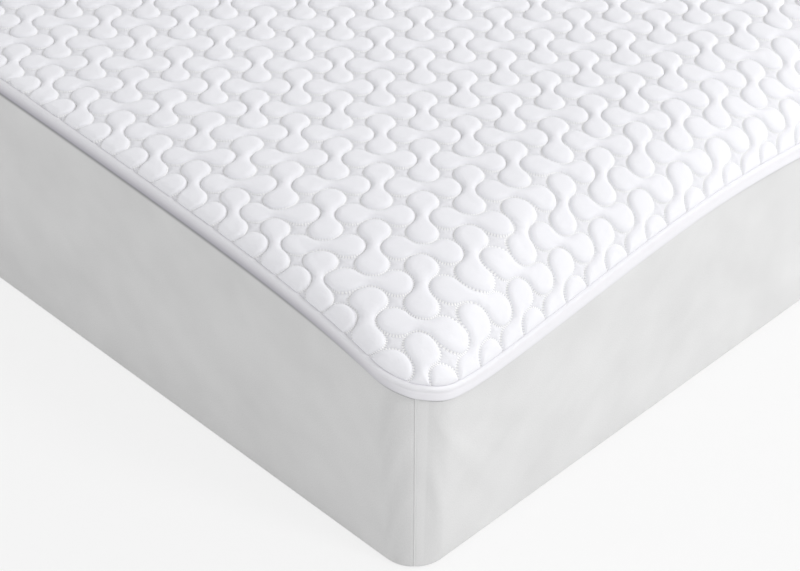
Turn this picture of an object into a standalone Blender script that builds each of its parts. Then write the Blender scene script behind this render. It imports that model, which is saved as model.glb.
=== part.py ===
"""Quilted, fitted protector, in the shape that its cloths have when they are stretched in use.

Frame: metres, +Z up. The origin is the middle of the face that the turned-under hem rests on.
+Y runs along the length, so the two ends are at the lowest and the highest Y.
"""

import bmesh
import bpy
from math import cos, exp, pi, radians, sin
from mathutils import Vector

# Driving dimensions of the whole cover
fitted_width = 0.965
fitted_length = 1.905
cover_height = 0.335
corner_radius = 0.055
clearance = 0.0003

# Drop of the bound edge below the top at a corner, and its rise from there along a side
edge_drop = 0.114
side_rise = 0.069
corner_rise_share = 0.24
rise_run_side = 0.135
rise_run_end = 0.035
rise_power_share = 1.5

# Further rise of the bound edge up to the middle of a side and of an end
side_bow = 0.024
end_bow = 0.029

# Lean of the bound edge inwards from the vertical, in degrees, less round the corners
edge_lean_corner = 15.0
edge_lean_straight = 22.0
straight_run = 0.160

# Crown of the padded top, from the flat to the bound edge
crown_width_side = 0.115
crown_width_end = 0.160
flat_corner_share = 0.94
crown_level_share = 0.45
crown_fall_share = 0.25
crown_steps = 5

# Quilted stack: thickness where it lies flat, and where the edge seam presses it
face_thickness = 0.0012
fill_thickness = 0.0045
backing_thickness = 0.0008
face_thickness_pressed = 0.0006
fill_thickness_pressed = 0.0010
backing_thickness_pressed = 0.0004

# Binding, folded round the raw edges
binding_thickness = 0.0006
binding_width = 0.0180
binding_bulge = 0.0007
raw_edge_height = 0.0035
binding_fold_steps = 4

# Skirt of stretch knit, with its seam allowances and its turned-under hem
skirt_thickness = 0.0006
bottom_bend_radius = 0.010
bottom_bend_steps = 3
turn_under = 0.090
hem_corner_radius = 0.130
corner_allowance = 0.008

# Hem casing and the elastic inside it
elastic_width = 0.012
elastic_thickness = 0.0012
casing_fold_steps = 2
casing_slack = 0.0020
casing_slope = 0.0025
casing_margin = 0.0050

# Where every loop has its points: shares of a straight run, from its middle towards the corner
end_run_shares = (0.0, 0.45, 0.75, 0.92)
side_run_shares = (0.0, 0.40, 0.62, 0.78, 0.89, 0.96)
wall_row_shares = (0.12, 0.50, 0.90)
corner_steps = 8

half_width = fitted_width / 2
half_length = fitted_length / 2
quarter_turn = pi / 2
eighth_turn = pi / 4
flat_corner_radius = flat_corner_share * (half_width - crown_width_side)

# Distances outwards from the fitted wall, through the bound edge
skirt_layer = skirt_thickness / 2
inner_leaf = skirt_thickness + clearance + binding_thickness / 2
allowance_layer = inner_leaf + (binding_thickness + skirt_thickness) / 2 + clearance
backing_inside = allowance_layer + skirt_thickness / 2 + clearance
backing_outside = backing_inside + backing_thickness_pressed
fill_inside = backing_outside + clearance
fill_outside = fill_inside + fill_thickness_pressed
face_inside = fill_outside + clearance
face_outside = face_inside + face_thickness_pressed
outer_leaf = face_outside + clearance + binding_thickness / 2

# Heights up the bound edge, from its lower fold
seam_fold_rise = allowance_layer - inner_leaf
crown_start = binding_width + seam_fold_rise + clearance

# Depths below the top of the cover, where the stack lies flat
fill_top_depth = face_thickness + clearance
fill_bottom_depth = fill_top_depth + fill_thickness
backing_top_depth = fill_bottom_depth + clearance
backing_bottom_depth = backing_top_depth + backing_thickness

# Heights above the resting face, through the hem casing
hem_sheet = skirt_thickness / 2
elastic_middle = skirt_thickness + clearance + elastic_thickness / 2
casing_sheet = elastic_middle + elastic_thickness / 2 + clearance + skirt_thickness / 2
margin_sheet = skirt_thickness + clearance + skirt_thickness / 2
casing_fold_radius = (casing_sheet - hem_sheet) / 2

# Distances inwards from the fitted wall, along the turned-under hem
casing_fold_centre = turn_under - casing_fold_radius - skirt_thickness / 2
elastic_inner_edge = casing_fold_centre - clearance
elastic_outer_edge = elastic_inner_edge - elastic_width
casing_leaf_end = elastic_outer_edge - casing_slack
margin_start = casing_leaf_end - casing_slope
margin_end = margin_start - casing_margin


def eased(share):
    """0 at 0 and 1 at 1, level at both."""
    return share * share * (3 - 2 * share)


class Station:
    """A place on the rounded rectangle that every loop of the cover passes through."""

    def __init__(self, sign_x, sign_y, end_share, side_share, angle, aside=0.0):
        self.sign_x = sign_x
        self.sign_y = sign_y
        self.end_share = end_share
        self.side_share = side_share
        self.angle = angle
        self.aside = aside

    def on_loop(self, inset_x, inset_y, radius):
        """The station's point on a loop that is set in from the fitted walls."""
        centre_x = half_width - inset_x - radius
        centre_y = half_length - inset_y - radius
        x = centre_x * self.end_share + radius * sin(self.angle) + self.aside * cos(self.angle)
        y = centre_y * self.side_share + radius * cos(self.angle) - self.aside * sin(self.angle)
        return self.sign_x * x, self.sign_y * y

    def run_from_corner(self):
        """Distance along the wall from the middle of the corner, positive towards the side."""
        run = (self.angle - eighth_turn) * corner_radius
        run += (1 - self.side_share) * (half_length - corner_radius)
        return run - (1 - self.end_share) * (half_width - corner_radius)

    def side_likeness(self):
        """0 where the bound edge runs as it does on an end, 1 where it runs as on a side."""
        run = self.run_from_corner()
        if run >= 0:
            return 1 - (1 - corner_rise_share) * exp(-run / rise_run_side)
        return corner_rise_share * exp(-((-run / rise_run_end) ** rise_power_share))

    def edge_height(self):
        bow = side_bow * eased(1 - self.side_share) + end_bow * eased(1 - self.end_share)
        return cover_height - edge_drop + side_rise * self.side_likeness() + bow

    def straightness(self):
        """0 in the middle of a corner, nearly 1 far along a side or an end."""
        return 1 - exp(-((self.run_from_corner() / straight_run) ** 2))

    def edge_lean(self):
        change = edge_lean_straight - edge_lean_corner
        return radians(edge_lean_corner + change * self.straightness())

    def by_wall(self, outwards, height):
        """Point at a distance outside the fitted wall, or inside it where that is negative."""
        return (*self.on_loop(-outwards, -outwards, corner_radius + outwards), height)

    def in_edge(self, layer, up):
        """Point of the bound edge, by its layer counted outwards and its place up the edge."""
        lean = self.edge_lean()
        outwards = layer * cos(lean) - up * sin(lean)
        return self.by_wall(outwards, self.edge_height() + layer * sin(lean) + up * cos(lean))

    def in_hem(self, inwards, height):
        """Point of the turned-under hem, whose inner corners are rounder than the wall's."""
        radius = hem_corner_radius + turn_under - inwards
        return (*self.on_loop(inwards, inwards, radius), height)


def quarter_stations(sign_x, sign_y):
    """Stations from the middle of an end, round one corner, to the middle of a side."""
    angles = [quarter_turn * step / corner_steps for step in range(corner_steps + 1)]
    ends = [Station(sign_x, sign_y, share, 1, 0) for share in end_run_shares]
    corner = [Station(sign_x, sign_y, 1, 1, angle) for angle in angles]
    sides = [Station(sign_x, sign_y, 1, share, quarter_turn) for share in reversed(side_run_shares)]
    return ends + corner + sides


def whole_loop():
    """All stations once round, anticlockwise from the middle of the end at the lowest Y."""
    stations = quarter_stations(1, -1)[:-1]
    stations += reversed(quarter_stations(1, 1)[1:])
    stations += quarter_stations(-1, 1)[:-1]
    stations += reversed(quarter_stations(-1, -1)[1:])
    return stations


def panel_stations(start, finish, on_side):
    """Stations of one skirt panel, between the seams in the middle of two corners.

    start and finish are the (sign_x, sign_y) of those corners, in anticlockwise order.
    """
    aside = (skirt_thickness + clearance) / 2 * (1 if on_side else -1)

    def half(signs):
        seam = Station(*signs, 1, 1, eighth_turn, aside)
        if on_side:
            return [seam] + [s for s in quarter_stations(*signs) if s.angle > eighth_turn]
        return [seam] + [s for s in reversed(quarter_stations(*signs)) if s.angle < eighth_turn]

    return half(start) + list(reversed(half(finish)))[1:]


def material(name, colour, roughness):
    made = bpy.data.materials.new(name)
    made.use_nodes = True
    shader = made.node_tree.nodes["Principled BSDF"]
    shader.inputs["Base Color"].default_value = (*colour, 1.0)
    shader.inputs["Roughness"].default_value = roughness
    shader.inputs["Metallic"].default_value = 0.0
    return made


def add_piece(name, builder, finish):
    """Turn a finished bmesh into a named object of the cover."""
    bmesh.ops.recalc_face_normals(builder, faces=builder.faces)
    mesh = bpy.data.meshes.new(name)
    builder.to_mesh(mesh)
    builder.free()
    mesh.materials.append(finish)
    piece = bpy.data.objects.new(name, mesh)
    piece.parent = resting_frame
    cover.objects.link(piece)
    return piece


def add_cloth_piece(name, builder, finish, thickness):
    """A piece whose mesh is the middle surface of a cloth of even thickness."""
    piece = add_piece(name, builder, finish)
    shell = piece.modifiers.new("cloth_thickness", "SOLIDIFY")
    shell.thickness = thickness
    shell.offset = 0
    shell.use_even_offset = True
    return piece


def smooth(piece):
    piece.data.shade_smooth()
    piece.data.set_sharp_from_angle(angle=radians(35))


def sheet(builder, rows, closed):
    """Triangles between rows of points; a closed sheet joins each row's last point to its first.

    Every diagonal rises anticlockwise, so that cloths which lie on each other bend alike.
    """
    placed = [[builder.verts.new(point) for point in row] for row in rows]
    for here, there in zip(placed, placed[1:]):
        low, high = (here, there) if there[0].co.z > here[0].co.z else (there, here)
        count = len(low)
        for index in range(count if closed else count - 1):
            after = (index + 1) % count
            builder.faces.new((low[index], low[after], high[after]))
            builder.faces.new((low[index], high[after], high[index]))
    return placed


def along_bend(bend, share):
    """Point on the cubic curve that four points shape."""
    start, leaving, coming, finish = bend
    rest = 1 - share
    return (
        start * rest**3
        + leaving * (3 * rest**2 * share)
        + coming * (3 * rest * share**2)
        + finish * share**3
    )


def crown_rows(layer, depth):
    """One face of a quilted layer: rows from the flat of the top out to its raw edge.

    The crown leaves the flat level, and comes down to the bound edge in line with it.
    """
    rows = [[] for step in range(crown_steps + 2)]
    for station in whole_loop():
        seam = Vector(station.in_edge(layer, crown_start))
        flat_place = station.on_loop(crown_width_side, crown_width_end, flat_corner_radius)
        flat = Vector((*flat_place, cover_height - depth))
        level = Vector((seam.x, seam.y, flat.z)) - flat
        fall = seam.z - flat.z
        above = Vector(station.in_edge(layer, crown_start - fall * crown_fall_share))
        bend = (flat, flat + level * crown_level_share, above, seam)
        for step in range(crown_steps + 1):
            rows[step].append(along_bend(bend, step / crown_steps))
        rows[-1].append(station.in_edge(layer, raw_edge_height))
    return rows


def quilted_layer(name, lower, upper, finish):
    """A closed layer between two faces, each given as (layer in the edge, depth of the flat)."""
    builder = bmesh.new()
    under = sheet(builder, crown_rows(*lower), closed=True)
    over = sheet(builder, crown_rows(*upper), closed=True)
    count = len(under[-1])
    for index in range(count):
        after = (index + 1) % count
        rim = (under[-1][index], under[-1][after], over[-1][after], over[-1][index])
        builder.faces.new(rim)
    builder.faces.new(under[0])
    builder.faces.new(over[0])
    smooth(add_piece(name, builder, finish))


def binding_profile():
    """The folded tape, as (layer, up) points from the top of its inner leaf to its outer one."""
    fold_radius = (outer_leaf - inner_leaf) / 2
    fold_layer = inner_leaf + fold_radius
    fold_height = fold_radius + binding_thickness / 2
    points = [(inner_leaf, binding_width - clearance)]
    for step in range(binding_fold_steps + 1):
        angle = pi + pi * step / binding_fold_steps
        layer = fold_layer + fold_radius * cos(angle)
        points.append((layer, fold_height + fold_radius * sin(angle)))
    points.append((outer_leaf + binding_bulge, (fold_height + binding_width) / 2))
    points.append((outer_leaf, binding_width))
    return points


def edge_binding(finish):
    builder = bmesh.new()
    loop = whole_loop()
    rows = [[station.in_edge(layer, up) for station in loop] for layer, up in binding_profile()]
    sheet(builder, rows, closed=True)
    smooth(add_cloth_piece("edge_binding", builder, finish, binding_thickness))


def hem_elastic(finish):
    builder = bmesh.new()
    loop = whole_loop()
    edges = (elastic_outer_edge, elastic_inner_edge)
    rows = [[station.in_hem(inwards, elastic_middle) for station in loop] for inwards in edges]
    sheet(builder, rows, closed=True)
    add_cloth_piece("hem_elastic", builder, finish, elastic_thickness)


def seam_rows(station):
    """The skirt's upper edge, turned over inside the binding, down to the top of the wall."""
    return [
        station.in_edge(allowance_layer, raw_edge_height),
        station.in_edge(allowance_layer, binding_width),
        station.in_edge(inner_leaf, binding_width + seam_fold_rise),
        station.in_edge(skirt_layer, binding_width),
        station.in_edge(skirt_layer, skirt_thickness),
    ]


def wall_rows(station):
    top = station.edge_height() - skirt_thickness
    height = top - bottom_bend_radius
    return [station.by_wall(skirt_layer, top - height * share) for share in wall_row_shares]


def bottom_bend_rows(station):
    """The skirt's turn from the wall to the hem."""
    radius = bottom_bend_radius - skirt_thickness / 2
    points = []
    for step in range(bottom_bend_steps + 1):
        angle = quarter_turn * step / bottom_bend_steps
        outwards = skirt_thickness - bottom_bend_radius + radius * cos(angle)
        points.append(station.by_wall(outwards, bottom_bend_radius - radius * sin(angle)))
    return points


def hem_rows(station):
    """The hem's fold round the elastic, and its sewn raw edge."""
    points = []
    for step in range(casing_fold_steps + 1):
        angle = pi * step / casing_fold_steps
        inwards = casing_fold_centre + casing_fold_radius * sin(angle)
        points.append(station.in_hem(inwards, elastic_middle - casing_fold_radius * cos(angle)))
    points.append(station.in_hem(casing_leaf_end, casing_sheet))
    points.append(station.in_hem(margin_start, margin_sheet))
    points.append(station.in_hem(margin_end, margin_sheet))
    return points


def skirt_panel(name, stations, finish):
    """A panel from its raw edge in the binding to its raw edge in the hem."""
    builder = bmesh.new()
    columns = [seam_rows(s) + wall_rows(s) + bottom_bend_rows(s) + hem_rows(s) for s in stations]
    placed = sheet(builder, list(zip(*columns)), closed=False)
    first = len(seam_rows(stations[0]))
    last = first + len(wall_row_shares)
    for column in (0, -1):
        seam = [placed[row][column] for row in range(first, last)]
        turn_in_allowance(builder, seam, stations[column])
    smooth(add_cloth_piece(name, builder, finish, skirt_thickness))


def turn_in_allowance(builder, seam, station):
    """The strip beyond a corner seam, turned towards the inside of the cover."""
    edges = [builder.edges.get(pair) for pair in zip(seam, seam[1:])]
    made = bmesh.ops.extrude_edge_only(builder, edges=edges)["geom"]
    turned = [item for item in made if isinstance(item, bmesh.types.BMVert)]
    inwards_x = -station.sign_x * sin(station.angle) * corner_allowance
    inwards_y = -station.sign_y * cos(station.angle) * corner_allowance
    bmesh.ops.translate(builder, verts=turned, vec=(inwards_x, inwards_y, 0))


for old in list(bpy.data.objects):
    bpy.data.objects.remove(old)

cover = bpy.data.collections.new("mattress_protector")
bpy.context.scene.collection.children.link(cover)
resting_frame = bpy.data.objects.new("resting_frame", None)
cover.objects.link(resting_frame)

face_knit = material("white_face_knit", (0.86, 0.86, 0.88), 0.85)
wadding = material("white_polyester_wadding", (0.90, 0.90, 0.89), 0.95)
membrane = material("waterproof_membrane_backing", (0.80, 0.82, 0.84), 0.45)
tape = material("white_binding_tape", (0.84, 0.84, 0.86), 0.75)
skirt_knit = material("pale_grey_stretch_knit", (0.66, 0.66, 0.65), 0.80)
elastic = material("white_woven_elastic", (0.78, 0.78, 0.76), 0.70)

quilted_layer("quilted_face_fabric", (face_inside, face_thickness), (face_outside, 0), face_knit)
quilted_layer("fibre_fill", (fill_inside, fill_bottom_depth), (fill_outside, fill_top_depth), wadding)
quilted_layer(
    "waterproof_backing",
    (backing_inside, backing_bottom_depth),
    (backing_outside, backing_top_depth),
    membrane,
)
edge_binding(tape)
skirt_panel("skirt_side_left", panel_stations((-1, 1), (-1, -1), on_side=True), skirt_knit)
skirt_panel("skirt_side_right", panel_stations((1, -1), (1, 1), on_side=True), skirt_knit)
skirt_panel("skirt_end_foot", panel_stations((-1, -1), (1, -1), on_side=False), skirt_knit)
skirt_panel("skirt_end_head", panel_stations((1, 1), (-1, 1), on_side=False), skirt_knit)
hem_elastic(elastic)
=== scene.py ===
"""Looks of the quilted, fitted protector: its cloths, their stitching and the studio round them.

Frame: metres, +Z up. The origin is the middle of the face that the turned-under hem rests on.
+Y runs along the length. The cover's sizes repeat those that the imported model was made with.
Only its fuller shoulder, sharper foot corners, puffs, small folds and thinner inner cloths differ.
"""

import bmesh
import bpy
import numpy as np
from math import ceil, pi
from mathutils import Matrix, Vector
from mathutils.bvhtree import BVHTree


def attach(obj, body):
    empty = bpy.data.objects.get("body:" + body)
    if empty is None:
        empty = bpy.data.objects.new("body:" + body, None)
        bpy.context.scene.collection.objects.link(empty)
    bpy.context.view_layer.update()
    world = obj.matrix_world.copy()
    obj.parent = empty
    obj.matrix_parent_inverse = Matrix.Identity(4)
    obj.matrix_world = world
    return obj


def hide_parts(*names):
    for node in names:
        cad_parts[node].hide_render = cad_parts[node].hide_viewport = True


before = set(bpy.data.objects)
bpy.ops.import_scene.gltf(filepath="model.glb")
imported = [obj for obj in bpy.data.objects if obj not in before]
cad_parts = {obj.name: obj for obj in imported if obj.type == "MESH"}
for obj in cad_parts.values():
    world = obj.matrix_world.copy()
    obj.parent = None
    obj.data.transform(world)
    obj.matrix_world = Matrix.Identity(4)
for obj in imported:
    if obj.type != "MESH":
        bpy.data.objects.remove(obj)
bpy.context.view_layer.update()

# Driving dimensions of the whole cover
fitted_width = 0.965
fitted_length = 1.905
cover_height = 0.335
corner_radius = 0.055
foot_corner_radius = 0.042
clearance = 0.0003

# Rise of the bound edge from its corners along the sides and the ends
edge_drop = 0.114
side_rise = 0.069
corner_rise_share = 0.24
rise_run_side = 0.135
rise_run_end = 0.035
rise_power_share = 1.5
side_bow = 0.024
end_bow = 0.029

# Lean of the bound edge inwards from the vertical, in degrees, less round the corners
edge_lean_corner = 15.0
edge_lean_straight = 22.0
straight_run = 0.160

# Crown of the padded top
crown_width_side = 0.115
crown_width_end = 0.160
flat_corner_share = 0.94
crown_level_share = 0.66
crown_fall_share = 0.40
crown_measured_share = 0.6
crown_rows = 26
crown_steps = (36, 14, 60)

# Quilting: round lobes in a square lattice, joined in pairs, pulled longer towards the ends
lobe_pitch = 0.0330
lobe_phase_x = -0.0089
lobe_phase_y = -0.0220
end_stretch = 0.04
stitches_round = 38
lobe_spokes = 24
lobe_ring_gaps = (0.0130, 0.0080, 0.0040, 0.0018, 0.0006, 0.0)
corner_row_shares = (0.25, 0.60, 1.0)

# Puffs that the filling makes between the stitches
puff_height = 0.0047
puff_rim = 0.0075
puff_at_seam = 0.0120
puff_overhang = 0.0015
seam_puff_share = 1.05
square_puff_share = 0.36
square_reach_share = 0.414
bone_change_share = 0.08
filling_change_share = 0.05
refined_shares = (1.1, 0.6)

# Cloths and how they lie in the bound edge, counted outwards from the fitted wall
skirt_thickness = 0.0006
tape_thickness = 0.0006
tape_width = 0.0180
raw_edge_height = 0.0035
pressed_stack = 0.0026
backing_thickness = 0.0008

# The backing, which is drawn up by the stitches and sags a little between them
backing_depth = 0.0067
backing_rise = 0.0004
backing_sag = 0.0012
backing_square_share = 0.3
backing_steps_each_lobe = 4

# The binding tape: its swell above the fold, its crease round the corners and its ripples
tape_steps = (70, 18, 130)
tape_bulge = 0.0030
tape_bulge_power = 0.8
tape_inner_share = 0.6
tape_fold_points = 9
tape_outer_points = 12
tape_outer_shares = (0.08, 0.96)
tape_tuck = 0.0004
tape_measured_row = 8
crease_depth = 0.0011
crease_run = 0.045
crease_place_share = 0.50
crease_width_share = 0.09
ripple_share = 0.16
ripple_edge = 0.00035
tape_ripples = ((190.0, 0.0, 0.40), (71.0, 1.3, 0.35), (331.0, 0.4, 0.25))

# Skirt, its turned-under hem and the casing at the hem's edge, as insets and heights
wall_steps = (48, 16, 90)
wall_rows = 40
wall_overrun = 0.0005
wall_measured_row = 25
bottom_bend_radius = 0.005
bend_rows = 7
turn_under = 0.090
hem_corner_radius = 0.130
hem_rows = 10
hem_inner_margin = 0.012
hem_outer_margin = 0.004
casing_profile = ((0.030, 0.0018), (0.018, 0.0026), (0.004, 0.0028), (0.0, 0.0015), (0.004, 0.0003))

# Corner seams of the skirt, with the cloth beyond them turned inside
corner_allowance = 0.008
allowance_shares = (0.12, 0.5, 1.0)
allowance_in_edge = (0.0030, 0.0010, 0.0003, 0.0003)
seam_roll = 0.0003
seam_half_gap = 0.00005

# Slight easing folds that fan out below the corners
ease_depth = 0.0007
ease_run = 0.22
ease_free_run = 0.02
ease_centre = 0.02
ease_folds = 17
ease_sway = 1.2
ease_sway_waves = 21
ease_fine_share = 0.6
ease_fine_folds = 31
ease_fine_lean = 16

# The elastic, thinner than its solid so that it lies free in the casing
elastic_width = 0.012
band_thickness = 0.00072
band_inset = 0.003
band_height = 0.0015
band_rows = 4

# Shade under the tape and in its fold, which is deeper along the sides
side_shade_run = 0.060
side_shade_growth = 1.5
out_of_reach = 0.1

# Closer than the first is one place, and under the others nothing is left to divide by
same_place = 0.00001
no_length = 1e-12
no_area = 1e-14

half_width = fitted_width / 2
half_length = fitted_length / 2
quarter_turn = pi / 2
flat_corner_radius = flat_corner_share * (half_width - crown_width_side)
lobe_radius = lobe_pitch / 2
membrane_thickness = backing_thickness / 2

skirt_layer = skirt_thickness / 2
inner_leaf = skirt_thickness + clearance + tape_thickness / 2
allowance_layer = inner_leaf + (tape_thickness + skirt_thickness) / 2 + clearance
backing_layer = allowance_layer + skirt_thickness / 2 + clearance + membrane_thickness / 2
face_layer = backing_layer + pressed_stack
outer_leaf = face_layer + clearance + tape_thickness / 2
seam_fold_rise = allowance_layer - inner_leaf
crown_start = tape_width + seam_fold_rise + clearance


def eased(share):
    """0 at 0 and 1 at 1, level at both."""
    return share * share * (3 - 2 * share)


class Walk:
    """Places round the cover's rounded outline, as arrays with one entry for each place."""

    def __init__(self, places, aside=0.0):
        self.places = np.array(places, dtype=float)
        self.sign_x, self.sign_y, self.end_share, self.side_share, self.angle = self.places.T
        self.aside = aside

    def outward(self):
        """The level direction straight out of the wall."""
        return np.stack([self.sign_x * np.sin(self.angle), self.sign_y * np.cos(self.angle)], axis=-1)

    def on_loop(self, inset_x, inset_y, radius):
        """Points on a loop that is set in from the fitted walls."""
        centre_x = half_width - inset_x - radius
        centre_y = half_length - inset_y - radius
        sine, cosine = np.sin(self.angle), np.cos(self.angle)
        x = centre_x * self.end_share + radius * sine + self.aside * cosine
        y = centre_y * self.side_share + radius * cosine - self.aside * sine
        return self.sign_x * x, self.sign_y * y

    def run_from_corner(self):
        """Distance along the wall from the middle of the corner, positive towards the side."""
        run = (self.angle - quarter_turn / 2) * corner_radius
        run = run + (1 - self.side_share) * (half_length - corner_radius)
        return run - (1 - self.end_share) * (half_width - corner_radius)

    def side_likeness(self):
        """0 where the bound edge runs as it does on an end, 1 where it runs as on a side."""
        run = self.run_from_corner()
        on_side = 1 - (1 - corner_rise_share) * np.exp(-np.maximum(run, 0) / rise_run_side)
        past = (np.maximum(-run, 0) / rise_run_end) ** rise_power_share
        return np.where(run >= 0, on_side, corner_rise_share * np.exp(-past))

    def along_side(self):
        """0 in the corners and on the ends, nearly 1 along a side."""
        return 1 - np.exp(-np.maximum(self.run_from_corner(), 0) / side_shade_run)

    def edge_height(self):
        bow = side_bow * eased(1 - self.side_share) + end_bow * eased(1 - self.end_share)
        return cover_height - edge_drop + side_rise * self.side_likeness() + bow

    def straightness(self):
        """0 in the middle of a corner, nearly 1 far along a side or an end."""
        return 1 - np.exp(-((self.run_from_corner() / straight_run) ** 2))

    def edge_lean(self):
        change = edge_lean_straight - edge_lean_corner
        return np.radians(edge_lean_corner + change * self.straightness())

    def wall_radius(self, height):
        """The skirt's corner, which the stretched cloth draws sharper towards the foot."""
        share = np.clip(1 - height / self.edge_height(), 0, 1)
        return corner_radius - (corner_radius - foot_corner_radius) * eased(share)

    def by_wall(self, outwards, height):
        """Points at a distance outside the fitted wall, or inside it where that is negative."""
        x, y = self.on_loop(-outwards, -outwards, self.wall_radius(height) + outwards)
        return np.stack([x, y, height + 0 * x], axis=-1)

    def in_edge(self, layer, up):
        """Points of the bound edge, by their layer counted outwards and their place up the edge."""
        lean = self.edge_lean()
        outwards = layer * np.cos(lean) - up * np.sin(lean)
        return self.by_wall(outwards, self.edge_height() + layer * np.sin(lean) + up * np.cos(lean))

    def in_hem(self, inwards, height):
        """Points of the turned-under hem, whose inner corners are rounder than the wall's."""
        x, y = self.on_loop(inwards, inwards, hem_corner_radius + turn_under - inwards)
        return np.stack([x, y, height + 0 * x], axis=-1)


def quarter_walk(sign_x, sign_y, end_steps, corner_steps, side_steps):
    """Places from the middle of an end, round one corner, to the middle of a side."""
    ends = [(sign_x, sign_y, step / end_steps, 1, 0) for step in range(end_steps)]
    turn = [quarter_turn * step / corner_steps for step in range(corner_steps + 1)]
    corner = [(sign_x, sign_y, 1, 1, angle) for angle in turn]
    left = [1 - (step + 1) / side_steps for step in range(side_steps)]
    return ends + corner + [(sign_x, sign_y, 1, share, quarter_turn) for share in left]


def whole_walk(end_steps, corner_steps, side_steps):
    """Once round, anticlockwise from the middle of the end at the lowest Y; the last is the first."""
    steps = (end_steps, corner_steps, side_steps)
    places = quarter_walk(1, -1, *steps)[:-1]
    places += quarter_walk(1, 1, *steps)[::-1]
    places += quarter_walk(-1, 1, *steps)[1:-1]
    places += quarter_walk(-1, -1, *steps)[::-1]
    return Walk(places)


def panel_walk(start, finish, on_side, end_steps, corner_steps, side_steps):
    """Places of one skirt panel, between the seams in the middle of two corners."""
    way = 1 if on_side else -1
    steps = (end_steps, corner_steps, side_steps)
    middle = end_steps + corner_steps // 2

    def half(signs):
        places = quarter_walk(*signs, *steps)
        return places[middle:] if on_side else places[: middle + 1][::-1]

    places = half(start) + half(finish)[::-1][1:]
    roll = seam_roll / corner_radius * way
    for place, signs in ((1, start), (-1, finish)):
        places.insert(place, (*signs, 1, 1, quarter_turn / 2 + roll))
    walk = Walk(places)
    seam = np.zeros(len(places))
    seam[0] = seam[-1] = (skirt_thickness / 2 + seam_half_gap) * way
    walk.aside = seam
    return walk


def beyond(cloth, half_x, half_y, radius):
    """Distance outside a rounded rectangle on the flat cloth, negative inside it."""
    past = np.abs(cloth) - [half_x - radius, half_y - radius]
    return np.linalg.norm(np.maximum(past, 0), axis=1) + np.minimum(past.max(axis=1), 0) - radius


def along(points):
    """Distance along rows of points, from their first row."""
    steps = np.linalg.norm(np.diff(points, axis=0), axis=-1)
    return np.concatenate([np.zeros((1, points.shape[1])), np.cumsum(steps, axis=0)])


def along_row(points):
    """Distance along one row of points, from its first point."""
    return along(points[:, None])[:, 0]


def placed_grid(name, places, cloth):
    """A mesh over rows and columns of places, with each place's spot on the flat cloth as its UV.

    Rows that rise and columns that run anticlockwise turn its faces outwards.
    """
    rows, columns = places.shape[:2]
    builder = bmesh.new()
    bmesh.ops.create_grid(builder, x_segments=columns - 1, y_segments=rows - 1, size=0.5)
    mesh = bpy.data.meshes.new(name)
    builder.to_mesh(mesh)
    builder.free()
    mesh.vertices.foreach_set("co", places.reshape(-1).astype(np.float32))
    set_cloth(mesh, cloth.reshape(-1, 2))
    mesh.shade_smooth()
    return mesh


def join_ends(mesh, rows, columns):
    """Join the last column of a grid to its first."""
    builder = bmesh.new()
    builder.from_mesh(mesh)
    builder.verts.ensure_lookup_table()
    numbers = [row * columns + column for row in range(rows) for column in (0, columns - 1)]
    ends = [builder.verts[number] for number in numbers]
    bmesh.ops.remove_doubles(builder, verts=ends, dist=same_place)
    builder.to_mesh(mesh)
    builder.free()


def set_cloth(mesh, cloth, name="cloth"):
    """Write a pair of numbers for each vertex, such as its place on the flat cloth, as a UV map."""
    corner_vertex = np.empty(len(mesh.loops), dtype=np.int32)
    mesh.loops.foreach_get("vertex_index", corner_vertex)
    layer = mesh.uv_layers.new(name=name)
    layer.data.foreach_set("uv", cloth[corner_vertex].reshape(-1).astype(np.float32))


def set_value(mesh, name, values):
    """Write a number for each vertex as an attribute."""
    made = mesh.attributes.new(name, "FLOAT", "POINT")
    made.data.foreach_set("value", values.reshape(-1).astype(np.float32))


def vertex_places(mesh):
    places = np.empty(len(mesh.vertices) * 3, dtype=np.float32)
    mesh.vertices.foreach_get("co", places)
    return places.reshape(-1, 3).astype(float)


def add_piece(name, mesh, finish, slot, *nodes):
    """Put a mesh in the scene as a piece that takes the place of the named nodes."""
    piece = bpy.data.objects.new(name, mesh)
    bpy.context.scene.collection.objects.link(piece)
    mesh.materials.clear()
    mesh.materials.append(finish)
    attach(piece, "root")
    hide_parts(*nodes)
    return piece


def thicken(piece, thickness):
    """Give a piece its thickness, half to each side."""
    shell = piece.modifiers.new("cloth_thickness", "SOLIDIFY")
    shell.thickness = thickness
    shell.offset = 0


def split_grid(rows, columns):
    """Two triangles for each cell of a grid, as numbers of its places."""
    first_of_row = np.arange(rows - 1)[:, None] * columns
    lower = (first_of_row + np.arange(columns - 1)[None]).reshape(-1)
    upper = lower + columns
    first = np.stack([lower, lower + 1, upper + 1], axis=-1)
    second = np.stack([lower, upper + 1, upper], axis=-1)
    return np.concatenate([first, second])


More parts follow.
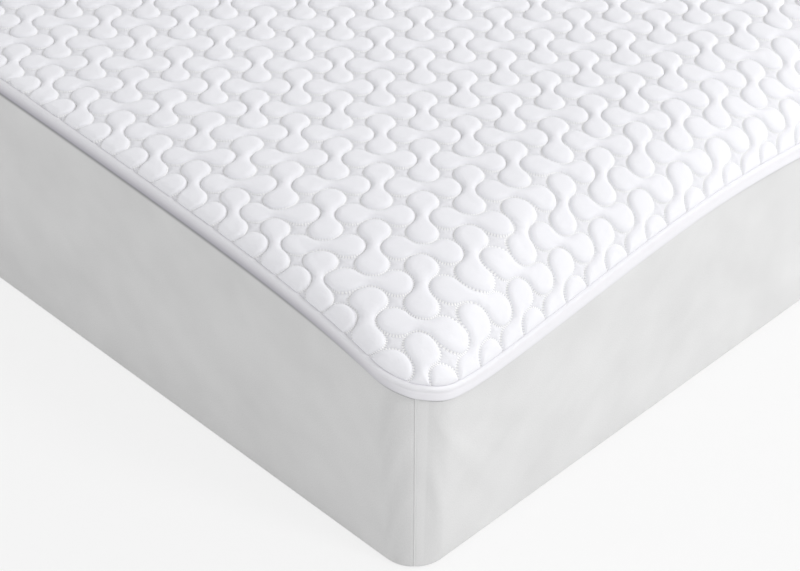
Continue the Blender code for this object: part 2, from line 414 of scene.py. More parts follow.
class Crown:
    """The quilted top: where each place of the flat cloth lies once the cover is on.

    Inside one loop the cloth is flat. Outside it, it curves down to the bound edge.
    """

    def __init__(self):
        self.walk = whole_walk(*crown_steps)
        self.shares = np.linspace(0, 1, crown_rows + 1)
        face = self.places(face_layer, puff_height)
        arc = self.straight_out(face)
        grown_x = self.grown(arc, self.walk.side_share, crown_width_side)
        grown_y = self.grown(arc, self.walk.end_share, crown_width_end)
        margin = crown_start - raw_edge_height
        self.half_x = half_width - crown_width_side
        self.half_y = half_length - crown_width_end
        self.seam_half = (half_width + grown_x, half_length + grown_y)
        self.cloth_half = (self.seam_half[0] + margin, self.seam_half[1] + margin)
        rows = self.rows_on_cloth(face, arc, grown_x, grown_y)
        raw = self.loop(-grown_x - margin, -grown_y - margin, corner_radius + margin)
        flat = np.concatenate([rows, raw[None]])
        level = np.zeros((flat.shape[0] * flat.shape[1], 1))
        self.spots = np.concatenate([flat.reshape(-1, 2), level], axis=1)
        self.triangles = split_grid(*flat.shape[:2])
        spots, triangles = self.spots.tolist(), self.triangles.tolist()
        self.tree = BVHTree.FromPolygons(spots, triangles, all_triangles=True)

    def loop(self, inset_x, inset_y, radius):
        return np.stack(self.walk.on_loop(inset_x, inset_y, radius), axis=-1)

    def grown(self, arc, wall_share, crown_width):
        """How much longer the cloth is over the crown than the level width that it covers."""
        column = np.argmin(np.abs(wall_share - crown_measured_share))
        return arc[crown_rows, column] - crown_width

    def rows_on_cloth(self, face, arc, grown_x, grown_y):
        """Rows on the flat cloth from the loop round the flat to the seam, spread as on the crown."""
        inside = self.loop(crown_width_side, crown_width_end, flat_corner_radius)
        seam = self.loop(-grown_x, -grown_y, corner_radius)
        out = self.walk.outward()
        whole = seam - inside
        outward_part = (whole * out).sum(axis=-1, keepdims=True) * out
        rest = whole - outward_part
        run = face[: crown_rows + 1, :, :2] - face[0, :, :2]
        run_share = (run * run[-1]).sum(axis=-1) / (run[-1] ** 2).sum(axis=-1)
        arc_share = arc[: crown_rows + 1] / arc[crown_rows]
        return inside + outward_part * arc_share[:, :, None] + rest * run_share[:, :, None]

    def places(self, layer, depth):
        """Rows of places from the loop round the flat, over the bound edge, to the raw edge."""
        seam = self.walk.in_edge(layer, crown_start)
        x, y = self.walk.on_loop(crown_width_side, crown_width_end, flat_corner_radius)
        flat = np.stack([x, y, cover_height - depth + 0 * x], axis=-1)
        leaving = flat + (seam - flat) * [crown_level_share, crown_level_share, 0]
        fall = (flat[:, 2] - seam[:, 2]) * crown_fall_share
        above = self.walk.in_edge(layer, crown_start + fall)
        share = self.shares[:, None, None]
        rest = 1 - share
        bent = flat * rest**3 + leaving * (3 * rest**2 * share)
        bent = bent + above * (3 * rest * share**2) + seam * share**3
        return np.concatenate([bent, self.walk.in_edge(layer, raw_edge_height)[None]])

    def straight_out(self, places):
        """Distance over the crown from its first row, at right angles to the bound edge."""
        step = np.diff(places, axis=0)
        run = (step[:, :, :2] * self.walk.outward()).sum(axis=-1)
        length = np.hypot(run, step[:, :, 2])
        start = np.zeros((1, length.shape[1]))
        return np.concatenate([start, np.cumsum(length, axis=0)])

    def outwards(self, places):
        """Directions straight out of a surface of such rows."""
        down = np.gradient(places, axis=0)
        joined = np.concatenate([places[:, -2:-1], places, places[:, 1:2]], axis=1)
        round_ = (joined[:, 2:] - joined[:, :-2]) / 2
        found = np.cross(down, round_)
        found /= np.maximum(np.linalg.norm(found, axis=-1, keepdims=True), no_length)
        found[0] = (0, 0, 1)
        return found

    def settle(self, cloth):
        """For places on the flat cloth: if each is in the flat, its triangle and weights, its miss.

        The miss is how far a place lies outside the cloth; it is then settled on the nearest edge.
        """
        level = beyond(cloth, self.half_x, self.half_y, flat_corner_radius) <= 0
        index = np.zeros(len(cloth), dtype=int)
        nearest = np.zeros((len(cloth), 3))
        missed = np.zeros(len(cloth))
        for spot in np.nonzero(~level)[0]:
            place, _, found, gap = self.tree.find_nearest((cloth[spot, 0], cloth[spot, 1], 0.0))
            index[spot] = found
            nearest[spot] = place
            missed[spot] = gap
        corners = self.spots[self.triangles[index]][:, :, :2]
        edge_a = corners[:, 1] - corners[:, 0]
        edge_b = corners[:, 2] - corners[:, 0]
        within = nearest[:, :2] - corners[:, 0]
        size = edge_a[:, 0] * edge_b[:, 1] - edge_a[:, 1] * edge_b[:, 0]
        size = np.where(np.abs(size) < no_area, no_area, size)
        share_a = (within[:, 0] * edge_b[:, 1] - within[:, 1] * edge_b[:, 0]) / size
        share_b = (edge_a[:, 0] * within[:, 1] - edge_a[:, 1] * within[:, 0]) / size
        weights = np.stack([1 - share_a - share_b, share_a, share_b], axis=1)
        return level, index, weights, missed

    def lay(self, cloth, layer, depth):
        """Places, outward directions, distances to the seam and misses, for places on the cloth."""
        level, index, weights, missed = self.settle(cloth)
        rows = self.places(layer, depth)
        chosen = self.triangles[index]

        def mixed(values):
            return (values.reshape(-1, values.shape[-1])[chosen] * weights[:, :, None]).sum(axis=1)

        place, outward = mixed(rows), mixed(self.outwards(rows))
        height = np.full((level.sum(), 1), cover_height - depth)
        place[level] = np.concatenate([cloth[level], height], axis=1)
        outward[level] = (0, 0, 1)
        outward /= np.linalg.norm(outward, axis=1, keepdims=True)
        to_seam = -beyond(cloth, *self.seam_half, corner_radius)
        return place, outward, to_seam, missed


def chance(first, second):
    """Numbers between -1 and 1, evenly spread, that depend only on two whole numbers."""
    first_step, second_step, spread = 127.1, 311.7, 43758.5453
    wide = np.sin(first * first_step + second * second_step) * spread
    return 2 * (wide - np.floor(wide)) - 1


def stretched(pattern):
    """Where places of the quilting's even pattern lie on the flat cloth."""
    cloth = pattern.copy()
    cloth[:, 1] *= 1 + end_stretch * np.abs(pattern[:, 1]) ** 3
    return cloth


def unstretched(cloth):
    """The other way round, by closing in on it."""
    pattern = cloth.copy()
    for _ in range(12):
        pattern[:, 1] = cloth[:, 1] / (1 + end_stretch * np.abs(pattern[:, 1]) ** 3)
    return pattern


def quilting(pattern):
    """Distance to the nearest line of stitches, if a lobe or neck is there, and which bone it is."""
    spot = (pattern - [lobe_phase_x, lobe_phase_y]) / lobe_pitch
    radius = lobe_radius / lobe_pitch
    cell = np.floor(spot).astype(int)
    odd_x, odd_y = (cell % 2).T
    upright_neck = (odd_x == 0) & (odd_y == 0)
    level_neck = (odd_x == 1) & (odd_y == 1)
    nearest = np.full(len(pattern), 1.0)
    in_lobe = np.zeros(len(pattern), dtype=bool)
    bone = cell.copy()
    for step_x, step_y in ((0, 0), (1, 0), (0, 1), (1, 1)):
        lobe = cell + [step_x, step_y]
        reach = np.linalg.norm(spot - lobe, axis=1)
        sewn = ~(upright_neck if step_x == step_y else level_neck)
        nearest = np.where(sewn, np.minimum(nearest, np.abs(reach - radius)), nearest)
        inside = reach < radius
        in_lobe |= inside
        bone = np.where(inside[:, None], lobe - (lobe % 2)[:, ::-1], bone)
    open_ = in_lobe | upright_neck | level_neck
    return nearest * lobe_pitch, open_, bone


def puff(distance, reach):
    """Share of the full height of a puff, at a distance from the stitches that hold it down."""
    return 1 - (1 - np.clip(distance / reach, 0, 1)) ** 3


def rounded_edge(distance, reach):
    """The same where the puff's edge is tucked in, and stands up straight."""
    return np.sqrt(1 - (1 - np.clip(distance / reach, 0, 1)) ** 2)


def unevenness(cloth):
    """Low bumps of the filling, between -1 and 1, where two sets of swaying waves cross."""
    x, y = cloth.T
    across = np.sin(x * 230 + 3 * np.sin(y * 97))
    return across * np.sin(y * 190 + 2 * np.sin(x * 83))


def filling(pattern, cloth, to_seam):
    """Share of a full puff at each place, its distance to the stitches, and if it is in a bone."""
    sewn, open_, bone = quilting(pattern)
    in_square = square_puff_share * puff(sewn, lobe_radius * square_reach_share)
    full = np.where(open_, puff(sewn, puff_rim), in_square)
    full *= 1 + bone_change_share * chance(bone[:, 0], bone[:, 1])
    full *= 1 + filling_change_share * unevenness(cloth)
    by_seam = rounded_edge(to_seam + puff_overhang, puff_at_seam) * seam_puff_share
    return np.minimum(full, by_seam), sewn, open_


def refine(mesh, wanted):
    """Split the faces that hold any wanted vertex, for finer shapes there."""
    builder = bmesh.new()
    builder.from_mesh(mesh)
    chosen = [face for face in builder.faces if any(wanted[vertex.index] for vertex in face.verts)]
    edges = list({edge for face in chosen for edge in face.edges})
    bmesh.ops.subdivide_edges(builder, edges=edges, cuts=1, use_grid_fill=True)
    builder.to_mesh(mesh)
    builder.free()


def lobe_cell():
    """One lobe with its four corners, as a flat square tile whose edges match its neighbours'."""
    builder = bmesh.new()
    radius = lobe_radius - lobe_ring_gaps[0]
    bmesh.ops.create_circle(builder, cap_ends=True, cap_tris=True, segments=lobe_spokes, radius=radius)

    def grow(radius_at):
        rim = [edge for edge in builder.edges if edge.is_boundary]
        made = bmesh.ops.extrude_edge_only(builder, edges=rim)["geom"]
        for vertex in made:
            if isinstance(vertex, bmesh.types.BMVert):
                way = vertex.co.normalized()
                vertex.co = way * radius_at(way)

    def to_border(share):
        def radius_at(way):
            border = lobe_radius / max(abs(way.x), abs(way.y))
            return lobe_radius + (border - lobe_radius) * share
        return radius_at

    for gap in lobe_ring_gaps[1:]:
        grow(lambda way: lobe_radius - gap)
    for share in corner_row_shares:
        grow(to_border(share))
    bmesh.ops.remove_doubles(builder, verts=builder.verts, dist=same_place)
    mesh = bpy.data.meshes.new("lobe_cell")
    builder.to_mesh(mesh)
    builder.free()
    return mesh


def tiled(mesh, step, count_x, count_y):
    """The tile repeated in rows and columns and joined up, as one mesh."""
    tile = bpy.data.objects.new(mesh.name, mesh)
    bpy.context.scene.collection.objects.link(tile)
    for name, count, offset in (("along_x", count_x, (step, 0, 0)), ("along_y", count_y, (0, step, 0))):
        repeat = tile.modifiers.new(name, "ARRAY")
        repeat.count = count
        repeat.use_relative_offset = False
        repeat.use_constant_offset = True
        repeat.constant_offset_displace = offset
        repeat.use_merge_vertices = True
        repeat.merge_threshold = same_place
    depsgraph = bpy.context.evaluated_depsgraph_get()
    made = bpy.data.meshes.new_from_object(tile.evaluated_get(depsgraph))
    bpy.data.objects.remove(tile)
    return made


def lobe_lattice(crown):
    """Enough joined tiles for the whole cloth, in the even pattern and finer along the seam."""
    half_x, half_y = unstretched(np.array([crown.cloth_half]))[0]
    first_x = -ceil((half_x + lobe_phase_x) / lobe_pitch)
    first_y = -ceil((half_y + lobe_phase_y) / lobe_pitch)
    count_x = ceil((half_x - lobe_phase_x) / lobe_pitch) - first_x + 1
    count_y = ceil((half_y - lobe_phase_y) / lobe_pitch) - first_y + 1
    mesh = tiled(lobe_cell(), lobe_pitch, count_x, count_y)
    start = (lobe_phase_x + first_x * lobe_pitch, lobe_phase_y + first_y * lobe_pitch, 0)
    mesh.transform(Matrix.Translation(start))
    for share in refined_shares:
        to_seam = -beyond(stretched(vertex_places(mesh)[:, :2]), *crown.seam_half, corner_radius)
        refine(mesh, (to_seam > -2 * puff_overhang) & (to_seam < share * puff_at_seam))
    return mesh


def finish_edge(mesh, outside, turn=None):
    """Drop the faces wholly outside the cloth's raw edge, and turn the edge down if asked to."""
    builder = bmesh.new()
    builder.from_mesh(mesh)
    numbers = {vertex: vertex.index for vertex in builder.verts}
    gone = [face for face in builder.faces if all(outside[vertex.index] for vertex in face.verts)]
    bmesh.ops.delete(builder, geom=gone, context="FACES")
    if turn is not None:
        rim = [edge for edge in builder.edges if edge.is_boundary]
        for item in bmesh.ops.extrude_edge_only(builder, edges=rim)["geom"]:
            if isinstance(item, bmesh.types.BMVert):
                above = [edge.other_vert(item) for edge in item.link_edges]
                item.co += Vector(turn[next(numbers[vertex] for vertex in above if vertex in numbers)])
    builder.to_mesh(mesh)
    builder.free()


def quilted_top(crown, finish):
    mesh = lobe_lattice(crown)
    pattern = vertex_places(mesh)[:, :2]
    cloth = stretched(pattern)
    place, outward, to_seam, missed = crown.lay(cloth, face_layer, puff_height)
    full, sewn, open_ = filling(pattern, cloth, to_seam)
    place += outward * (full * puff_height)[:, None]
    mesh.vertices.foreach_set("co", place.reshape(-1).astype(np.float32))
    set_cloth(mesh, cloth)
    set_cloth(mesh, (pattern - [lobe_phase_x, lobe_phase_y]) / lobe_pitch, "lobes")
    set_value(mesh, "sewn", sewn)
    set_value(mesh, "small_square", 1.0 - open_)
    finish_edge(mesh, missed > same_place, turn=-outward * (pressed_stack - clearance))
    mesh.name = "quilted_top"
    mesh.shade_smooth()
    top = add_piece("quilted_top", mesh, finish, "face_knit", "quilted_face_fabric", "fibre_fill")


def backing_sheet(crown, finish):
    step = lobe_pitch / backing_steps_each_lobe
    count_x = ceil(2 * crown.cloth_half[0] / step) + 1
    count_y = ceil(2 * crown.cloth_half[1] / step) + 1
    x = (np.arange(count_x) - (count_x - 1) / 2) * step
    y = (np.arange(count_y) - (count_y - 1) / 2) * step
    cloth = np.stack(np.meshgrid(x, y), axis=-1)
    flat = cloth.reshape(-1, 2)
    place, outward, to_seam, missed = crown.lay(flat, backing_layer, backing_depth)
    sewn, open_, _ = quilting(unstretched(flat))
    full = np.where(open_, puff(sewn, lobe_radius), backing_square_share)
    full = full * puff(np.maximum(to_seam, 0), lobe_radius)
    place -= outward * (full * backing_sag - backing_rise)[:, None]
    mesh = placed_grid("backing", place.reshape(count_y, count_x, 3), cloth)
    finish_edge(mesh, missed > same_place)
    backing = add_piece("backing_sheet", mesh, finish, "membrane", "waterproof_backing")
    thicken(backing, membrane_thickness)
    flat_size = (2 * crown.cloth_half[0], 2 * crown.cloth_half[1])


def tape_profile(walk):
    """Layers and heights across the tape, from its inner edge over the fold to its outer edge."""
    radius = (outer_leaf - inner_leaf) / 2
    fold_layer = inner_leaf + radius
    fold_height = radius + tape_thickness / 2
    profile = [(inner_leaf, tape_width - clearance), (inner_leaf, tape_width * tape_inner_share)]
    for angle in np.linspace(pi, 2 * pi, tape_fold_points):
        profile.append((fold_layer + radius * np.cos(angle), fold_height + radius * np.sin(angle)))
    run = walk.run_from_corner()
    in_corner = np.exp(-((run / crease_run) ** 2))
    ripple = sum(np.sin(run * waves + start) * share for waves, start, share in tape_ripples)
    for share in np.linspace(*tape_outer_shares, tape_outer_points):
        swell = np.sin(pi * share**3) ** tape_bulge_power
        crease = in_corner * np.exp(-(((share - crease_place_share) / crease_width_share) ** 2))
        bulge = tape_bulge * swell * (1 + ripple_share * ripple) - crease_depth * crease
        profile.append((outer_leaf + bulge, fold_height + (tape_width - fold_height) * share))
    profile.append((outer_leaf - tape_tuck, tape_width + ripple_edge * ripple))
    return profile


def binding(finish):
    walk = whole_walk(*tape_steps)
    profile = tape_profile(walk)
    places = np.stack([walk.in_edge(layer, up) for layer, up in profile])
    across = along(places)
    round_ = along_row(places[tape_measured_row])
    cloth = np.stack([np.broadcast_to(round_, across.shape), across], axis=-1)
    mesh = placed_grid("edge_tape", places, cloth)
    # The tape's height above its fold and its run along a side steer its painted shade
    set_value(mesh, "above_fold", np.stack([np.broadcast_to(up, round_.shape) for _, up in profile]))
    set_value(mesh, "along_side", np.broadcast_to(walk.along_side(), across.shape))
    join_ends(mesh, *across.shape)
    tape = add_piece("edge_tape", mesh, finish, "binding_tape", "edge_binding")
    thicken(tape, tape_thickness)


def easing(run, height, top):
    """Slight folds of the wall that fan out from under the corner of the bound edge."""
    fan = np.arctan2(top + ease_centre - height, np.abs(run) + ease_centre)
    ease = np.sin(fan * ease_folds + ease_sway * np.sin(run * ease_sway_waves))
    ease = ease + ease_fine_share * np.sin(fan * ease_fine_folds + run * ease_fine_lean)
    return ease * np.exp(-((run / ease_run) ** 2)) * (1 - np.exp(-((run / ease_free_run) ** 2)))


def skirt_places(walk):
    """Rows of one skirt panel from the raw edge in its hem up to the raw edge in the binding."""
    under = [walk.in_hem(turn_under - inset, height) for inset, height in casing_profile]
    hem_ends = (turn_under - hem_inner_margin, bottom_bend_radius + hem_outer_margin)
    for inwards in np.linspace(*hem_ends, hem_rows):
        under.append(walk.in_hem(inwards, skirt_layer))
    bend = []
    radius = bottom_bend_radius - skirt_thickness / 2
    for angle in np.linspace(quarter_turn, 0, bend_rows):
        outwards = skirt_thickness - bottom_bend_radius + radius * np.cos(angle)
        bend.append(walk.by_wall(outwards, bottom_bend_radius - radius * np.sin(angle)))
    top = walk.edge_height() + wall_overrun
    run = walk.run_from_corner()
    wall = []
    for share in np.linspace(0, 1, wall_rows + 1)[1:]:
        height = bottom_bend_radius + (top - bottom_bend_radius) * share
        ease = ease_depth * easing(run, height, top) * (4 * share * (1 - share))
        wall.append(walk.by_wall(skirt_layer + ease, height))
    edge = [
        walk.in_edge(skirt_layer, tape_width),
        walk.in_edge(inner_leaf, tape_width + seam_fold_rise),
        walk.in_edge(allowance_layer, tape_width),
        walk.in_edge(allowance_layer, raw_edge_height),
    ]
    return np.stack(under + bend + wall + edge)


def with_allowances(places, walk):
    """The panel's rows of places, with the strips beyond its corner seams turned inside."""
    reach = np.full(len(places), corner_allowance)
    reach[-len(allowance_in_edge):] = allowance_in_edge
    under = np.clip((bottom_bend_radius - places[:, 0, 2]) / bottom_bend_radius, 0, 1)
    strips = []
    for column in (0, -1):
        x, y = -walk.outward()[column]
        way = np.stack([x * (1 - under), y * (1 - under), under], axis=-1)
        way /= np.linalg.norm(way, axis=-1, keepdims=True)
        seam = places[:, column]
        strips.append([seam + way * (reach * share)[:, None] for share in allowance_shares])
    first = np.stack(strips[0][::-1], axis=1)
    last = np.stack(strips[1], axis=1)
    return np.concatenate([first, places, last], axis=1)


def skirt_panel(name, start, finish_corner, on_side, finish):
    """One wall with its hem. Only on the end walls is a painted highlight laid over the turned allowances.
    """
    walk = panel_walk(start, finish_corner, on_side, *wall_steps)
    places = skirt_places(walk)
    up = along(places)
    width = along_row(places[wall_measured_row])
    strips = corner_allowance * np.array(allowance_shares)
    extra = len(strips)
    round_ = np.concatenate([-strips[::-1], width, width[-1] + strips])
    ups = np.pad(up, ((0, 0), (extra, extra)), mode="edge")
    cloth = np.stack([np.broadcast_to(round_, ups.shape), ups], axis=-1)
    mesh = placed_grid(name, with_allowances(places, walk), cloth)
    to_seam = np.minimum(round_, round_[-1] - corner_allowance - round_)
    # The side walls get neither the painted highlight nor the light seam line
    to_seam = to_seam + (out_of_reach if on_side else 0)
    set_value(mesh, "to_seam", np.broadcast_to(to_seam, ups.shape))
    # How far below the tape, stretched along the sides, for the painted shade under the tape
    below = (walk.edge_height()[None] - places[:, :, 2]) / (1 + side_shade_growth * walk.along_side())
    set_value(mesh, "below_tape", np.pad(below, ((0, 0), (extra, extra)), mode="edge"))
    panel = add_piece(name + "_cloth", mesh, finish, "skirt_knit", name)
    thicken(panel, skirt_thickness)


def elastic_band(finish):
    walk = whole_walk(*wall_steps)
    inner = turn_under - band_inset
    insets = np.linspace(inner, inner - elastic_width, band_rows)
    places = np.stack([walk.in_hem(inset, band_height) for inset in insets])
    across = along(places)
    round_ = along_row(places[1])
    cloth = np.stack([np.broadcast_to(round_, across.shape), across], axis=-1)
    mesh = placed_grid("hem_band", places, cloth)
    join_ends(mesh, *across.shape)
    band = add_piece("hem_band", mesh, finish, "elastic", "hem_elastic")
    thicken(band, band_thickness)


class Wire:
    """A value in a material's nodes, which can be reckoned with as a number can."""

    def __init__(self, tree, socket):
        self.tree = tree
        self.socket = socket

    def maths(self, operation, *values, clamp=False):
        node = self.tree.nodes.new("ShaderNodeMath")
        node.operation = operation
        node.use_clamp = clamp
        for place, value in zip(node.inputs, values):
            feed(self.tree, place, value)
        return Wire(self.tree, node.outputs[0])

    def __add__(self, other):
        return self.maths("ADD", self, other)

    def __radd__(self, other):
        return self.maths("ADD", other, self)

    def __sub__(self, other):
        return self.maths("SUBTRACT", self, other)

    def __rsub__(self, other):
        return self.maths("SUBTRACT", other, self)

    def __mul__(self, other):
        return self.maths("MULTIPLY", self, other)

    def __rmul__(self, other):
        return self.maths("MULTIPLY", other, self)

    def below(self, limit):
        """1 where the value is less than the limit, and 0 elsewhere."""
        return self.maths("LESS_THAN", self, limit)

    def part(self):
        """What is left of a value after its whole number."""
        return self.maths("FRACT", self)

    def size(self):
        """The value without its sign."""
        return self.maths("ABSOLUTE", self)

    def sine(self):
        return self.maths("SINE", self)

    def fade(self, start, finish):
        """1 at start and before it, 0 at finish and past it."""
        return self.maths("DIVIDE", finish - self, finish - start, clamp=True)


def feed(tree, socket, value):
    """Link a wire to a socket, or set the socket to a plain value."""
    if isinstance(value, Wire):
        tree.links.new(value.socket, socket)
    else:
        socket.default_value = value


class Finish:
    """A material under construction."""

    def __init__(self, name):
        self.material = bpy.data.materials.new(name)
        self.material.use_nodes = True
        self.tree = self.material.node_tree
        self.shader = self.tree.nodes["Principled BSDF"]

    def node(self, kind, settings, values, output=0):
        """Any node, with its settings made before its sockets are fed."""
        made = self.tree.nodes.new(kind)
        for name, value in settings.items():
            setattr(made, name, value)
        for name, value in values.items():
            feed(self.tree, made.inputs[name], value)
        return Wire(self.tree, made.outputs[output])

    def spot(self, name="cloth"):
        """The place on the flat cloth in metres, or the pair that another UV map holds."""
        return self.node("ShaderNodeUVMap", {"uv_map": name}, {})

    def apart(self, vector):
        """The two parts of a place on the cloth."""
        node = self.node("ShaderNodeSeparateXYZ", {}, {0: vector}).socket.node
        return Wire(self.tree, node.outputs[0]), Wire(self.tree, node.outputs[1])

    def attribute(self, name):
        return self.node("ShaderNodeAttribute", {"attribute_name": name}, {}, output="Fac")

    def scaled(self, vector, size):
        sizes = {0: vector, 1: (size, size, 1.0)}
        return self.node("ShaderNodeVectorMath", {"operation": "MULTIPLY"}, sizes)

    def noise(self, vector, scale, detail=2.0):
        values = {"Vector": vector, "Scale": scale, "Detail": detail}
        return self.node("ShaderNodeTexNoise", {}, values)

    def wave(self, vector, direction):
        settings = {"wave_type": "BANDS", "bands_direction": direction, "wave_profile": "SIN"}
        return self.node("ShaderNodeTexWave", settings, {"Vector": vector, "Scale": 1.0})

    def mix(self, share, first, second):
        settings = {"data_type": "RGBA"}
        return self.node("ShaderNodeMix", settings, {0: share, 6: first, 7: second}, output=2)

    def bump(self, height, distance, strength):
        values = {"Height": height, "Distance": distance, "Strength": strength}
        return self.node("ShaderNodeBump", {}, values)

    def give(self, name, value):
        feed(self.tree, self.shader.inputs[name], value)

    def knit(self, spot, columns, rows):
        """Fine knitted loops, from 0 to 1, by how many columns and rows there are to a length."""
        across = self.wave(self.scaled(spot, columns), "X")
        return across * 0.6 + self.wave(self.scaled(spot, rows), "Y") * 0.4


def knit_finish(name, dark, light, roughness, columns, depth):
    """A fine plain knit, cloudy between two shades, whose loops stand out by a depth."""
    cloud_scale, speck_scale, fuzz_scale = 13.0, 800.0, 2500.0
    finish = Finish(name)
    spot = finish.spot()
    cloud = finish.noise(spot, cloud_scale) * 0.45 + finish.noise(spot, speck_scale) * 0.55
    finish.plain = finish.mix(cloud, (*dark, 1.0), (*light, 1.0))
    finish.give("Base Color", finish.plain)
    finish.give("Roughness", roughness)
    loops = finish.knit(spot, columns, columns * 0.8)
    fuzz = finish.noise(spot, fuzz_scale)
    finish.give("Normal", finish.bump(loops * 0.7 + fuzz * 0.3, depth, 0.5))
    return finish


def tape_finish():
    """White tape with painted shade that greys it down to its fold, most of all along the sides."""
    fold_start, fold_end = 0.0005, 0.0185
    shade_colour = (0.38, 0.37, 0.42, 1.0)
    finish = knit_finish(
        "binding_tape",
        dark=(0.82, 0.815, 0.845),
        light=(0.88, 0.875, 0.905),
        roughness=0.7,
        columns=700.0,
        depth=0.0002,
    )
    # Painted shade: darker towards the fold, more along the sides than in the corners
    fold = finish.attribute("above_fold").fade(fold_start, fold_end)
    shade = fold * fold * (finish.attribute("along_side") * 0.85 + 0.15)
    finish.give("Base Color", finish.mix(shade, finish.plain, shade_colour))
    return finish.material


def skirt_finish():
    """Grey stretch knit with painted shade under the tape, a painted highlight where a seam's allowance
    lies behind it, and a light seam line that is thread and painted light.
    """
    shade_start, shade_end = 0.0012, 0.0031
    allowance_start, allowance_end = 0.0095, 0.0115
    seam_light_start, seam_light_end = 0.0004, 0.0010
    finish = knit_finish(
        "stretch_knit",
        dark=(0.57, 0.57, 0.57),
        light=(0.85, 0.85, 0.85),
        roughness=0.8,
        columns=700.0,
        depth=0.0002,
    )
    painted_tape_shade = finish.attribute("below_tape").size().fade(shade_start, shade_end)
    to_seam = finish.attribute("to_seam").size()
    allowance_highlight = to_seam.fade(allowance_start, allowance_end)
    # Painted shade in a narrow band just under the tape
    colour = finish.mix(painted_tape_shade * 0.85, finish.plain, (0.20, 0.20, 0.21, 1.0))
    # Painted highlight over the turned allowances, next to the seams of the end walls
    colour = finish.mix(allowance_highlight * 0.25, colour, (0.86, 0.86, 0.86, 1.0))
    # A light seam line: white thread, and painted light that evens out the shade in the seam's groove
    colour = finish.mix(to_seam.fade(seam_light_start, seam_light_end) * 0.5, colour, (0.97, 0.97, 0.97, 1.0))
    finish.give("Base Color", colour)
    return finish.material


def backing_finish():
    """Smooth film on a thin knit."""
    dark, light = (0.80, 0.81, 0.83), (0.84, 0.85, 0.87)
    return knit_finish("backing_membrane", dark, light, roughness=0.5, columns=500.0, depth=0.0001).material


def elastic_finish():
    dark, light = (0.78, 0.78, 0.76), (0.82, 0.82, 0.80)
    return knit_finish("woven_elastic", dark, light, roughness=0.7, columns=900.0, depth=0.0003).material


def face_finish():
    """White knit with white stitches along the bones, gathered there, painted shade along the stitch lines,
    and rougher small squares, speckled and darkened by painted shade.
    """
    stitch_shade_start, stitch_shade_end = 0.0008, 0.0018
    thread_start, thread_end = 0.0009, 0.0014
    pucker_start, pucker_end, gather_end = 0.0004, 0.0035, 0.0030
    stitch_share = 0.6
    cloud_scale, speck_scale, fuzz_scale, crumple_scale, pucker_scale = 14.0, 900.0, 1100.0, 150.0, 420.0
    finish = Finish("white_face_knit")
    spot = finish.spot()
    sewn = finish.attribute("sewn")
    square = finish.attribute("small_square")

    # How far round its lobe a place lies, kept above 0, and if a stitch or a gap is there
    across, up = finish.apart(finish.spot("lobes"))
    from_middle_x = (across + 0.5).part() - 0.5
    from_middle_y = (up + 0.5).part() - 0.5
    turn = from_middle_y.maths("ARCTAN2", from_middle_y, from_middle_x)
    stitch = (turn * (stitches_round / (2 * pi)) + 64.0).part().below(stitch_share)
    thread = sewn.fade(thread_start, thread_end)

    cloud = finish.noise(spot, cloud_scale)
    colour = finish.mix(cloud, (0.855, 0.855, 0.89, 1.0), (0.885, 0.885, 0.92, 1.0))
    # Small squares: speckled, and darkened as painted shade in these pressed hollows
    square_speckle_shade = square * (0.20 + 0.5 * finish.noise(spot, speck_scale))
    colour = finish.mix(square_speckle_shade, colour, (0.74, 0.74, 0.77, 1.0))
    # Painted shade in the dips along the stitch lines
    colour = finish.mix(sewn.fade(stitch_shade_start, stitch_shade_end) * 0.35, colour, (0.64, 0.64, 0.68, 1.0))
    finish.give("Base Color", finish.mix(thread * stitch, colour, (0.99, 0.99, 0.99, 1.0)))
    finish.give("Roughness", 0.85)

    loops = finish.knit(spot, 640.0, 520.0)
    fuzz = finish.noise(spot, fuzz_scale)
    crumples = finish.noise(spot, crumple_scale, detail=3.0)
    puckers = finish.noise(spot, pucker_scale) * sewn.fade(pucker_start, pucker_end)
    gathers = (turn * stitches_round).sine() * sewn.fade(pucker_start, gather_end)
    sewing = thread * stitch * 1.6 - thread * (1.0 - stitch) * 0.6 + gathers * 0.5
    height = loops * 0.35 + fuzz * 0.7 + puckers * 1.2 + square * fuzz * 0.8 + sewing + crumples * 1.6
    finish.give("Normal", finish.bump(height, 0.0005, 0.55))
    return finish.material


def floor_finish():
    """Pale floor that keeps the cover's shadow and is lit a little of its own for the camera."""
    finish = Finish("pale_floor")
    finish.give("Base Color", (0.90, 0.90, 0.90, 1.0))
    finish.give("Roughness", 0.9)
    ray = finish.node("ShaderNodeLightPath", {}, {})
    glow = finish.node("ShaderNodeEmission", {}, {"Color": (0.955, 0.955, 0.955, 1.0), "Strength": 1.0})
    surface = Wire(finish.tree, finish.shader.outputs[0])
    mixed = finish.node("ShaderNodeMixShader", {}, {0: ray * 0.8, 1: surface, 2: glow})
    output = finish.tree.nodes["Material Output"]
    finish.tree.links.new(mixed.socket, output.inputs["Surface"])
    return finish.material


def lay_floor():
    half_size, drop = 30.0, 0.0002
    mesh = bpy.data.meshes.new("studio_floor")
    builder = bmesh.new()
    bmesh.ops.create_grid(builder, x_segments=1, y_segments=1, size=half_size)
    builder.to_mesh(mesh)
    builder.free()
    mesh.transform(Matrix.Translation((0, 0, -drop)))
    mesh.materials.append(floor_finish())
    floor = bpy.data.objects.new("studio_floor", mesh)
    bpy.context.scene.collection.objects.link(floor)


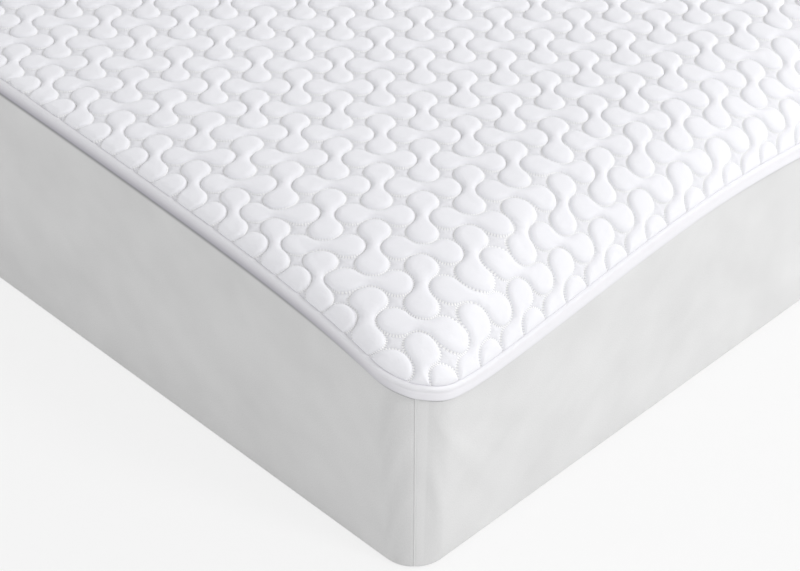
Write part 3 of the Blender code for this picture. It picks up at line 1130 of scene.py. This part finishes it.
def light_all_round(strength):
    world = bpy.data.worlds.new("studio")
    bpy.context.scene.world = world
    world.use_nodes = True
    background = world.node_tree.nodes["Background"]
    background.inputs["Color"].default_value = (1.0, 1.0, 1.0, 1.0)
    background.inputs["Strength"].default_value = strength


def lamp(name, power, size, place, target):
    """A round soft lamp at a place, turned to its target."""
    light = bpy.data.lights.new(name, "AREA")
    light.energy = power
    light.shape = "DISK"
    light.size = size
    holder = bpy.data.objects.new(name, light)
    holder.location = place
    holder.rotation_mode = "QUATERNION"
    holder.rotation_quaternion = (Vector(target) - Vector(place)).to_track_quat("-Z", "Y")
    bpy.context.scene.collection.objects.link(holder)


def set_camera(place, turn_sine, turn_cosine, fall_sine, fall_cosine):
    """The camera, by how far it is turned from +Y towards +X and how far it looks down."""
    aim = Vector((fall_cosine * turn_sine, fall_cosine * turn_cosine, -fall_sine))
    lens = bpy.data.cameras.new("camera")
    lens.lens = 93.645
    lens.sensor_width = 36.0
    lens.clip_end = 100.0
    camera = bpy.data.objects.new("camera", lens)
    camera.location = place
    camera.rotation_mode = "QUATERNION"
    camera.rotation_quaternion = aim.to_track_quat("-Z", "Y")
    bpy.context.scene.collection.objects.link(camera)
    bpy.context.scene.camera = camera


crown = Crown()
quilted_top(crown, face_finish())
backing_sheet(crown, backing_finish())
binding(tape_finish())
skirt = skirt_finish()
skirt_panel("skirt_side_left", (-1, 1), (-1, -1), True, skirt)
skirt_panel("skirt_side_right", (1, -1), (1, 1), True, skirt)
skirt_panel("skirt_end_foot", (-1, -1), (1, -1), False, skirt)
skirt_panel("skirt_end_head", (1, 1), (-1, 1), False, skirt)
elastic_band(elastic_finish())

# Studio
near_end = (0.0, -0.5, 0.3)
left_wall = (-0.48, -0.4, 0.15)
lay_floor()
light_all_round(0.70)
lamp("key", 80.0, 1.0, (4.20, -2.60, 2.90), near_end)
lamp("second", 70.0, 1.2, (0.80, -4.85, 3.20), near_end)
lamp("side_fill", 12.0, 1.0, (-3.60, 1.60, 0.90), left_wall)
set_camera((-1.5915, -2.0504, 1.610), 0.7039, 0.7103, 0.6135, 0.7897)
bpy.context.scene.view_settings.view_transform = "Standard"
